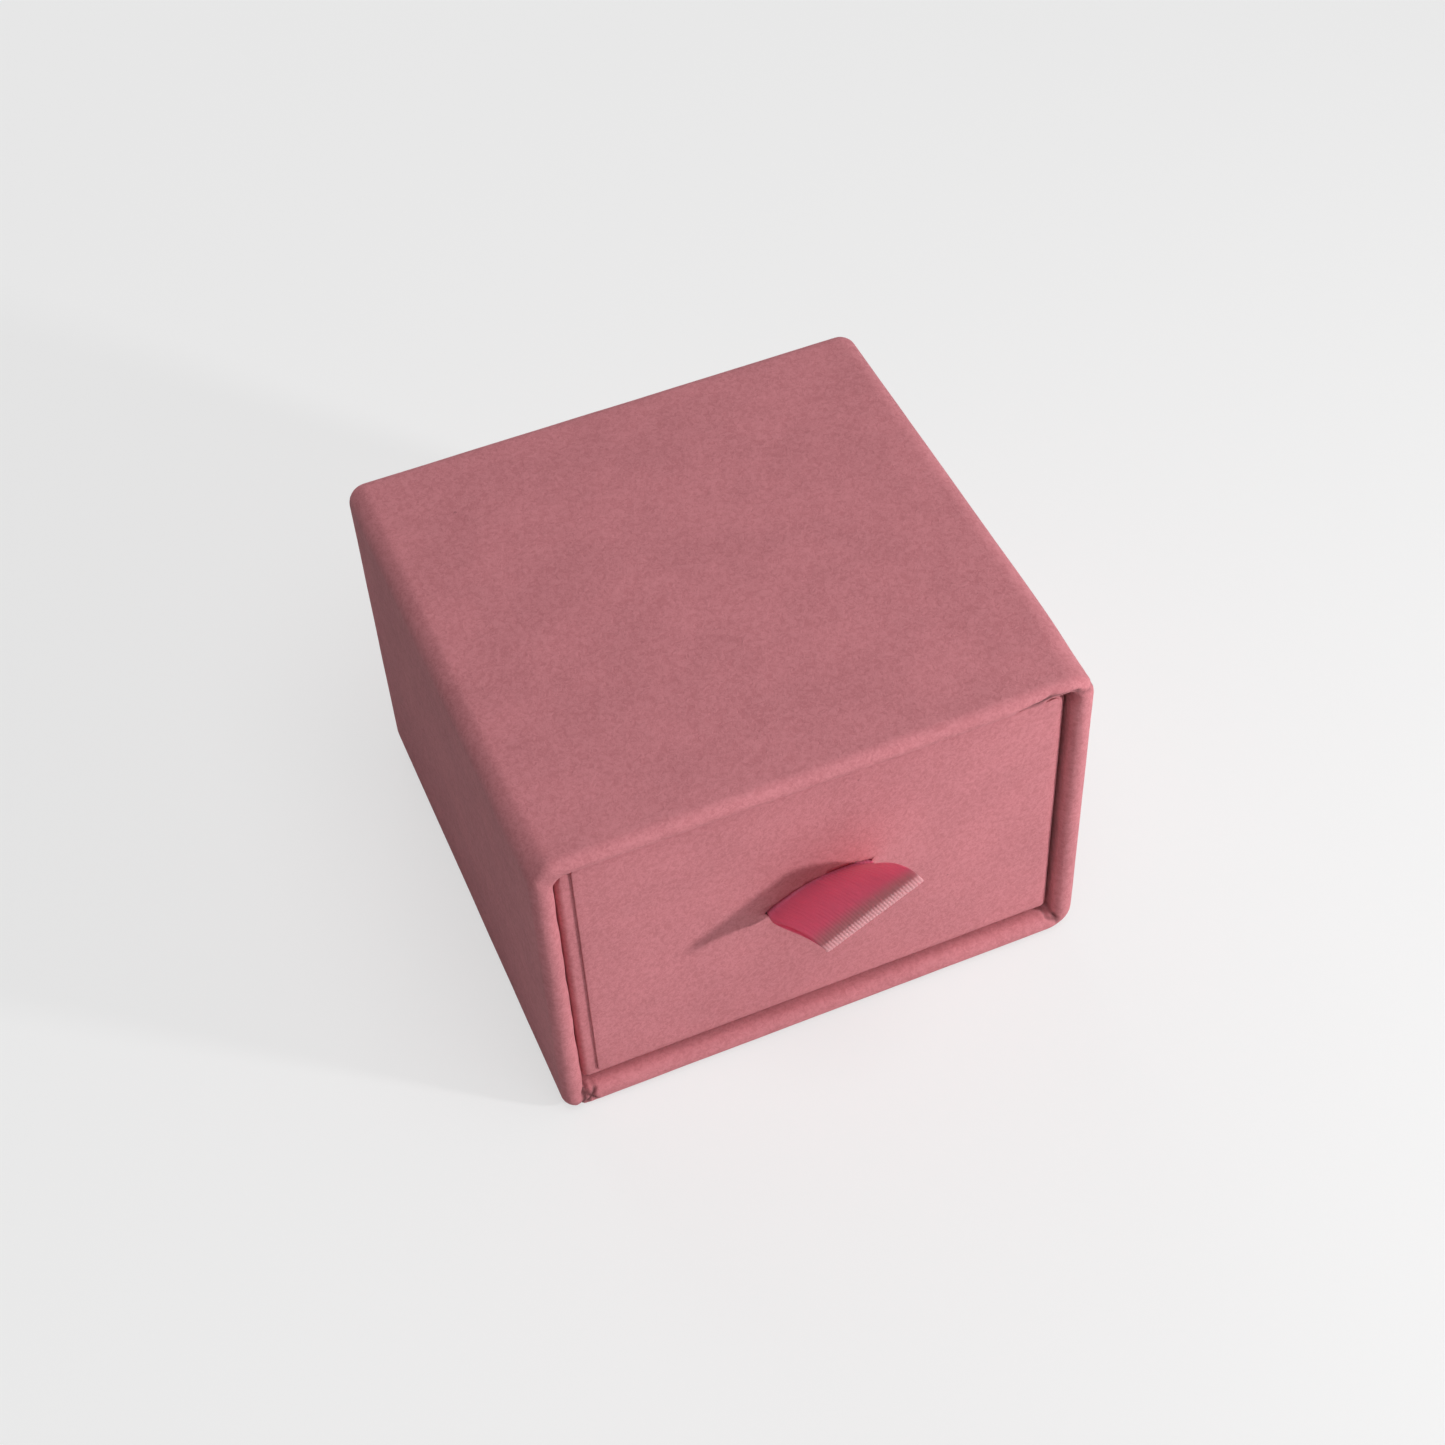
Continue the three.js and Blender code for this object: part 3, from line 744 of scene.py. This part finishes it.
class Slit:
    """The slit in the drawer's front: an arc that bows upwards, found from the ribbon's root."""

    def __init__(self):
        ribbon = settings().ribbon
        self.rise, self.chord = ribbon.rise, ribbon.chord
        self.radius = (self.chord ** 2 / 4 + self.rise ** 2) / (2 * self.rise)
        side = -FLEX_AXIS if FLEX_AXIS.x < 0 else FLEX_AXIS
        self.side, self.up = np.array(side), np.array((-side.z, 0, side.x))
        self.foot = np.array(ROOT) - self.up * self.rise / 2

    def bar(self, low, high, left, right, front, back):
        """A curved bar from front to back; low and high are heights from the arc."""
        half = math.asin(self.chord / 2 / self.radius)
        angle = np.linspace(left * half, right * half, 41)
        outline = []
        for height, turn in ((low, angle), (high, angle[::-1])):
            reach = self.radius + height
            flat = np.stack([reach * np.sin(turn), reach * np.cos(turn) - self.radius + self.rise], -1)
            outline.append(self.foot + flat[:, :1] * self.side + flat[:, 1:] * self.up)
        ring = np.concatenate(outline)
        steps = [ring.copy() for _ in range(2)]
        steps[0][:, 1], steps[1][:, 1] = back, front
        return skin("slit_cutter", np.stack(steps))


class RINGBOX_OT_drawer(Undoable, bpy.types.Operator):
    """Wrap the drawer, cut its slit and line it"""

    bl_idname = "ring_box.drawer"
    bl_label = "Drawer wrap"

    def execute(self, context):
        box, slit, paper = tray_box(), Slit(), settings().paper

        def dent(u, v, w):
            """Mitred folds where the wrap goes over the rim at each corner."""
            across = step_up(np.minimum(np.abs(u) - box.inner_u, np.abs(v) - box.inner_v), 0.2 * MM)
            mitre = np.abs((np.abs(u) - box.inner_u) - (np.abs(v) - box.inner_v))
            fold = 0.25 * MM * np.exp(-(mitre / (0.16 * MM)) ** 2) * across
            fold = fold * step_up(w - box.height + 1.4 * MM, 0.3 * MM)
            return fold, fold / (0.5 * MM)

        back = TRAY_LOW.y + 2 * box.wall
        for name, slot, node, rings, seed in (
            ("drawer_wrap", "wrap_paper", "drawer_wrap_paper", box.wrap(dent), 5.1),
            ("drawer_liner", "liner_paper", "drawer_liner_paper", box.lining(), 6.4),
        ):
            piece = skin(name, in_tray(rings))
            ripple(piece, slot, seed, paper.ripple * 0.7, paper.ripple_length)
            cut(piece, slit.bar(-0.65 * MM, 0.65 * MM, -1, 1, TRAY_LOW.y - box.wall, back))
            belongs(piece, "drawer", slot, node)
        return {"FINISHED"}


class RINGBOX_OT_facing(Undoable, bpy.types.Operator):
    """Lay the card on the drawer's front, with its slit lifted a little by the ribbon"""

    bl_idname = "ring_box.facing"
    bl_label = "Front facing"

    def execute(self, context):
        ribbon, slit = settings().ribbon, Slit()
        size, centre = FACING_HIGH - FACING_LOW, (FACING_HIGH + FACING_LOW) / 2
        thick, round_edge, middle = size.y - ribbon.sunk, 0.07 * MM, size.z * NEAR_MIDDLE
        rows = section(
            straight((middle, 0), (round_edge, 0), 1.2 * MM),
            arc(round_edge, round_edge, round_edge, 270, 180, 3),
            arc(round_edge, thick - round_edge, round_edge, 180, 90, 3),
            straight((round_edge, thick), (middle, thick), 0.5 * MM),
        )
        sides = [even(side, 0.5 * MM) for side in (size.x, size.z)]
        rings = []
        for inset, w in rows:
            radii = np.full(4, max(0.5 * MM - inset, 0.05 * MM))
            flat = rounded_ring(size.x / 2 - inset, size.z / 2 - inset, radii, sides)
            place_y = np.full(len(flat), FACING_HIGH.y - w)
            rings.append(np.column_stack([centre.x + flat[:, 0], place_y, centre.z + flat[:, 1]]))
        piece = skin("front_facing", np.stack(rings))
        piece.data.materials.append(finish("facing_paper"))
        below = -(ribbon.touch + ribbon.strip) / 2 - 0.03 * MM
        above = -below + 0.14 * MM
        cut(piece, slit.bar(below, above, -0.97, 0.93, FACING_LOW.y - thick, FACING_HIGH.y + thick))
        pucker(piece.data, slit)
        belongs(piece, "drawer", "facing_paper", "drawer_front_facing")
        return {"FINISHED"}


def pucker(mesh, slit):
    """Lifts the card above the slit, as the ribbon does."""
    points = np.empty(len(mesh.vertices) * 3)
    mesh.vertices.foreach_get("co", points)
    points = points.reshape(-1, 3)
    across, up = ((points - slit.foot) @ axis for axis in (slit.side, slit.up))
    edge = np.sqrt(np.maximum(slit.radius ** 2 - across ** 2, 0)) - slit.radius + slit.rise
    above = up - edge
    lift, reach, fade = 0.09 * MM, 4.4 * MM, 1.5 * MM
    near = np.exp(-(across / reach) ** 4)
    points[:, 1] -= lift * near * np.exp(-np.maximum(above, 0) / fade) * (above > 0)
    mesh.vertices.foreach_set("co", points.ravel())
    mesh.update()


class RINGBOX_OT_ribbon(Undoable, bpy.types.Operator):
    """Thread the ribbon: a glued tail, out through the slit, folded, back in, and the other tail"""

    bl_idname = "ring_box.ribbon"
    bl_label = "Pull ribbon"

    def execute(self, context):
        ribbon, slit = settings().ribbon, Slit()
        centres, sides, bow_axes, bows = ribbon_stations(ribbon, slit)
        along = np.concatenate([[0], np.cumsum(np.linalg.norm(np.diff(centres, axis=0), axis=1))])
        normals = np.cross(sides, np.gradient(centres, axis=0))
        normals /= np.linalg.norm(normals, axis=1, keepdims=True)
        samples = 6 * ribbon.threads + 1
        across = np.concatenate([np.linspace(-1, 1, samples), np.linspace(1, -1, samples)])
        thinner_at_edges = np.minimum(1, 0.35 + (1 - np.abs(across)) * 12)
        layer = np.repeat([-0.5, 0.5], samples) * thinner_at_edges
        rings = (
            centres[:, None] + sides[:, None] * across[:, None] * ribbon.width / 2
            + bow_axes[:, None] * (bows[:, None] * (0.5 - across ** 2))[..., None]
            + normals[:, None] * layer[:, None] * (ribbon.strip - 2 * ribbon.thread)
        )
        piece = skin("pull_ribbon", rings)
        places = {
            "across": np.tile((across + 1) / 2, len(rings)),
            "along": np.repeat(along, len(across)),
            "fold": np.repeat(np.abs(along - along[-1] / 2), len(across)),
        }
        for name, numbers in places.items():
            ends = [numbers[:len(across)].mean(), numbers[-len(across):].mean()]
            remember(piece, name, np.concatenate([numbers, ends]))
        grow(piece, thread_tree(), Threads=ribbon.threads, Height=ribbon.thread, Material=finish("ribbon"))
        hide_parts("ribbon_tails", "ribbon_tab")
        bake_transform(piece)
        return {"FINISHED"}


def ribbon_stations(ribbon, slit):
    """The strip's centre line from one tail's end to the other's, with its side and bow at each station."""
    tails_y = TAILS_HIGH.y - 0.15 * MM
    wall_exit = np.array([ROOT.x, FACING_LOW.y, ROOT.z])
    tip = np.array(ROOT) + np.array([ribbon.fold_right, -ribbon.fold_out, ribbon.fold_up])
    heading = np.array([0.2, -1, 0.22])
    heading /= np.linalg.norm(heading)
    half_puff = ribbon.puff / 2
    last = tip - heading * (half_puff + ribbon.strip / 2)
    handles = (
        wall_exit, wall_exit + np.array([0, -0.7, 0.1]) * MM, wall_exit + np.array([0.3, -2.2, 1.65]) * MM,
        last - heading * 2.2 * MM, last,
    )
    t = np.linspace(0, 1, 34)[:, None]
    middle = sum(math.comb(4, k) * t ** k * (1 - t) ** (4 - k) * handle for k, handle in enumerate(handles))
    slit_tilt = math.atan2(slit.side[2], slit.side[0])
    tilt = slit_tilt + (ribbon.fold_tilt - slit_tilt) * t[:, 0]
    side = np.stack([np.cos(tilt), np.zeros(len(tilt)), np.sin(tilt)], -1)
    ahead = np.gradient(middle, axis=0)
    up = -np.cross(side, ahead)
    up /= np.linalg.norm(up, axis=1, keepdims=True)
    apart = ribbon.touch + (ribbon.puff - ribbon.touch) * t[:, 0] ** 2 * (3 - 2 * t[:, 0])
    bow = ribbon.rise * (1 - t[:, 0])

    half_touch = ribbon.touch / 2
    inside = section(
        straight((tails_y, ribbon.tail), (tails_y, half_touch + ribbon.bend), 0.5 * MM),
        arc(tails_y - ribbon.bend, half_touch + ribbon.bend, ribbon.bend, 0, -90, 6),
        straight((tails_y - ribbon.bend, half_touch), (wall_exit[1], half_touch), 0.3 * MM),
    )[:-1]

    def behind(sign):
        centres = np.array(ROOT) + slit.up * (sign * inside[:, 1:])
        centres[:, 1] = inside[:, 0]
        return centres

    turn = np.radians(np.linspace(90, -90, 15))[1:-1, None]
    fold = last + heading * half_puff * np.cos(turn) + up[-1] * half_puff * np.sin(turn)
    upper, lower = middle + up * apart[:, None] / 2, middle - up * apart[:, None] / 2
    centres = np.concatenate([behind(1), upper, fold, lower[::-1], behind(-1)[::-1]])

    def there_and_back(in_wall, outside, at_fold):
        fixed, turned = np.stack([in_wall] * len(inside)), np.stack([at_fold] * len(fold))
        return np.concatenate([fixed, outside, turned, outside[::-1], fixed])

    sides = there_and_back(slit.side, side, side[-1])
    bow_axes = there_and_back(slit.up, up, up[-1])
    bows = there_and_back(ribbon.rise, bow, 0.0)
    return centres, sides, bow_axes, bows


def pad_rings(half_u, half_v, low, top, edge, lip, shrink=0.0):
    """The pad's upper skin: up its sides, over its swollen top and down into the ring slot."""
    pad = settings().pad
    slot_u, slot_v = pad.slot_length / 2 + shrink, pad.slot_width / 2 + shrink
    floor = top - pad.slot_depth
    rows = [(half_u, half_v, pad.corner, z) for z in np.arange(low, top - edge, 0.9 * MM)]
    for a in np.linspace(0, math.pi / 2, 9):
        pull = edge * (1 - math.cos(a))
        rows.append((half_u - pull, half_v - pull, pad.corner, top - edge + edge * math.sin(a)))
    start_u, start_v = half_u - edge, half_v - edge
    lip_u, lip_v = slot_u + lip, slot_v + lip
    for share in np.linspace(0, 1, 26)[1:]:
        swell = pad.crown * math.sin(math.pi * min(1, share * 1.05)) ** 0.8 if share < 0.95 else 0
        u, v = start_u + (lip_u - start_u) * share, start_v + (lip_v - start_v) * share
        rows.append((u, v, pad.corner + (slot_v * 0.8 - pad.corner) * share, top + swell))
    for a in np.linspace(0, math.pi / 2, 9)[1:]:
        pull, drop = lip * (1 - math.sin(a)), lip * (1 - math.cos(a))
        rows.append((slot_u + pull, slot_v + pull, slot_v * 0.8, top - drop))
    rows += [(slot_u, slot_v, slot_v * 0.8, z) for z in np.arange(top - lip - 0.8 * MM, floor, -0.8 * MM)]
    rows.append((slot_u, slot_v, slot_v * 0.8, floor))
    sides = [even(side, 0.7 * MM) for side in (2 * half_u, 2 * half_v)]
    middle_y = (PAD_LOW.y + PAD_HIGH.y) / 2
    rings = []
    for u, v, radius, z in rows:
        flat = rounded_ring(u, v, np.full(4, min(radius, v * 0.95)), sides)
        rings.append(np.column_stack([flat[:, 0], middle_y + flat[:, 1], np.full(len(flat), z)]))
    return np.stack(rings)


class RINGBOX_OT_pad(Undoable, bpy.types.Operator):
    """Upholster the pad: foam with a slot, and velvet pulled over it and tucked into the slot"""

    bl_idname = "ring_box.pad"
    bl_label = "Velvet pad"

    def execute(self, context):
        pad, paper = settings().pad, settings().paper
        half_u, half_v = (PAD_HIGH.x - PAD_LOW.x) / 2, (PAD_HIGH.y - PAD_LOW.y) / 2
        shown = pad_rings(half_u, half_v, PAD_LOW.z, PAD_HIGH.z, pad.edge, pad.lip)
        lining = shown - ring_normals(shown) * pad.cloth
        lining[:, :, 2] = np.maximum(lining[:, :, 2], PAD_LOW.z)
        velvet = skin("velvet_cover", np.concatenate([lining[::-1], shown]))
        ripple(velvet, "velvet", 8.2, pad.swell, pad.swell_length)
        belongs(velvet, "drawer", "velvet", "insert_velvet_cover")
        under = pad.cloth + 0.2 * MM
        block = pad_rings(
            half_u - under, half_v - under, FOAM_LOW.z, PAD_HIGH.z - under, pad.edge, pad.lip, shrink=under,
        )
        foam = skin("foam_block", block)
        ripple(foam, "foam", 9.5, paper.ripple, paper.ripple_length)
        belongs(foam, "drawer", "foam", "insert_foam_block")
        around, climb = np.roll(shown, -1, 1) - shown, np.gradient(shown, axis=0)
        cloth = np.linalg.norm(np.cross(around, climb), axis=-1).sum()
        return {"FINISHED"}


class RINGBOX_OT_boards(Undoable, bpy.types.Operator):
    """Give the boards, tapes and papers that stay as they are their own finish"""

    bl_idname = "ring_box.boards"
    bl_label = "Boards and tapes"

    def execute(self, context):
        kinds = {
            "board": "greyboard", "tape": "stay_tape", "holding": "liner_paper", "underside": "wrap_paper",
            "backing": "backing_card",
        }
        for name, node in frame["nodes"].items():
            for word, slot in kinds.items():
                if word in name:
                    node.data.materials.clear()
                    node.data.materials.append(finish(slot))
        return {"FINISHED"}


class RINGBOX_OT_stage(Undoable, bpy.types.Operator):
    """Set up the camera, the pale floor and the soft studio light"""

    bl_idname = "ring_box.stage"
    bl_label = "Stage"

    def execute(self, context):
        stage = settings().stage
        middle = (SLEEVE_LOW + SLEEVE_HIGH) / 2
        aim = middle + Vector((stage.aim_x, stage.aim_y, stage.aim_z))
        add_camera(stage, aim)
        add_floor(stage)
        add_sky(stage)
        add_light("key_light", aim, azimuth=47, elevation=17.5, distance=0.3, size=0.025, power=stage.key)
        add_light("overhead_light", aim, azimuth=8, elevation=70, distance=0.5, size=0.4, power=stage.over)
        add_light("fill_light", aim, azimuth=180, elevation=15, distance=0.5, size=0.4, power=stage.fill)
        bpy.context.scene.view_settings.view_transform = "Standard"
        return {"FINISHED"}


def direction(azimuth, elevation):
    """From the box towards a place at that azimuth, from the front to the right, and elevation."""
    flat = math.cos(elevation)
    return Vector((math.sin(azimuth) * flat, -math.cos(azimuth) * flat, math.sin(elevation)))


def add_camera(stage, aim):
    lens = bpy.data.cameras.new("camera")
    lens.lens, lens.sensor_width = stage.lens, 36
    lens.clip_start, lens.clip_end = 0.01, 10
    camera = new_object("camera", lens)
    back = direction(stage.azimuth, stage.elevation)
    camera.location = aim + back * stage.distance
    camera.rotation_mode = "QUATERNION"
    camera.rotation_quaternion = (-back).to_track_quat("-Z", "Y") @ Quaternion((0, 0, 1), stage.roll)
    bpy.context.scene.camera = camera


def add_floor(stage):
    reach = 1.5
    mesh = bpy.data.meshes.new("floor")
    mesh.from_pydata([(u * reach, v * reach, 0) for u, v in QUARTERS], [], [range(4)])
    floor = new_object("floor", mesh)
    material, tree, shader = new_material("floor_paper", Roughness=0.9, Specular_IOR_Level=0.1)
    shader.inputs["Base Color"].default_value = toned(stage.floor, 1)
    seen = put(tree, "ShaderNodeLightPath").outputs["Is Camera Ray"]
    glow = put(tree, "ShaderNodeEmission", {"Color": (1, 1, 1, 1), "Strength": 1.0})
    share = times(tree, seen, 0.6)
    blend = put(tree, "ShaderNodeMixShader", {0: share, 1: shader.outputs[0], 2: glow.outputs[0]})
    tree.links.new(blend.outputs[0], tree.nodes["Material Output"].inputs["Surface"])
    mesh.materials.append(material)


def add_sky(stage):
    """Light from all round, weaker from the left."""
    world = bpy.data.worlds.new("sky")
    world.use_nodes = True
    tree = world.node_tree
    coords = put(tree, "ShaderNodeTexCoord").outputs["Generated"]
    from_right = put(tree, "ShaderNodeSeparateXYZ", {0: coords}).outputs["X"]
    light = stretched(tree, from_right, -1.0, 0.6)
    shade = mixed(tree, light, (0.30, 0.31, 0.29, 1), (1.0, 1.0, 1.0, 1))
    tree.links.new(shade, tree.nodes["Background"].inputs["Color"])
    tree.nodes["Background"].inputs["Strength"].default_value = stage.sky
    bpy.context.scene.world = world


def add_light(name, aim, azimuth, elevation, distance, size, power):
    data = bpy.data.lights.new(name, "AREA")
    data.shape, data.size, data.energy = "DISK", size, power
    light = new_object(name, data)
    towards = direction(math.radians(azimuth), math.radians(elevation))
    light.location = aim + towards * distance
    light.rotation_mode = "QUATERNION"
    light.rotation_quaternion = towards.to_track_quat("Z", "Y")
    light.visible_camera = False


STEPS = (
    RINGBOX_OT_stage, RINGBOX_OT_sleeve, RINGBOX_OT_drawer, RINGBOX_OT_facing, RINGBOX_OT_ribbon,
    RINGBOX_OT_pad, RINGBOX_OT_boards,
)


class RINGBOX_PT_panel(bpy.types.Panel):
    """Lists the steps that build the ring box"""

    bl_idname = "RINGBOX_PT_panel"
    bl_label = "Ring Box"
    bl_space_type = "VIEW_3D"
    bl_region_type = "UI"
    bl_category = "Ring Box"

    def draw(self, context):
        for step in STEPS:
            self.layout.operator(step.bl_idname)


CLASSES = (
    RINGBOX_PG_paper, RINGBOX_PG_ribbon, RINGBOX_PG_pad, RINGBOX_PG_stage, RINGBOX_PG_settings, *STEPS,
    RINGBOX_PT_panel,
)


def register():
    for kind in CLASSES:
        bpy.utils.register_class(kind)
    bpy.types.Scene.ring_box = PointerProperty(type=RINGBOX_PG_settings)


def unregister():
    del bpy.types.Scene.ring_box
    for kind in reversed(CLASSES):
        bpy.utils.unregister_class(kind)


def main():
    register()
    for step in STEPS:
        group, name = step.bl_idname.split(".")
        getattr(getattr(bpy.ops, group), name)()


if __name__ == "__main__":
    main()
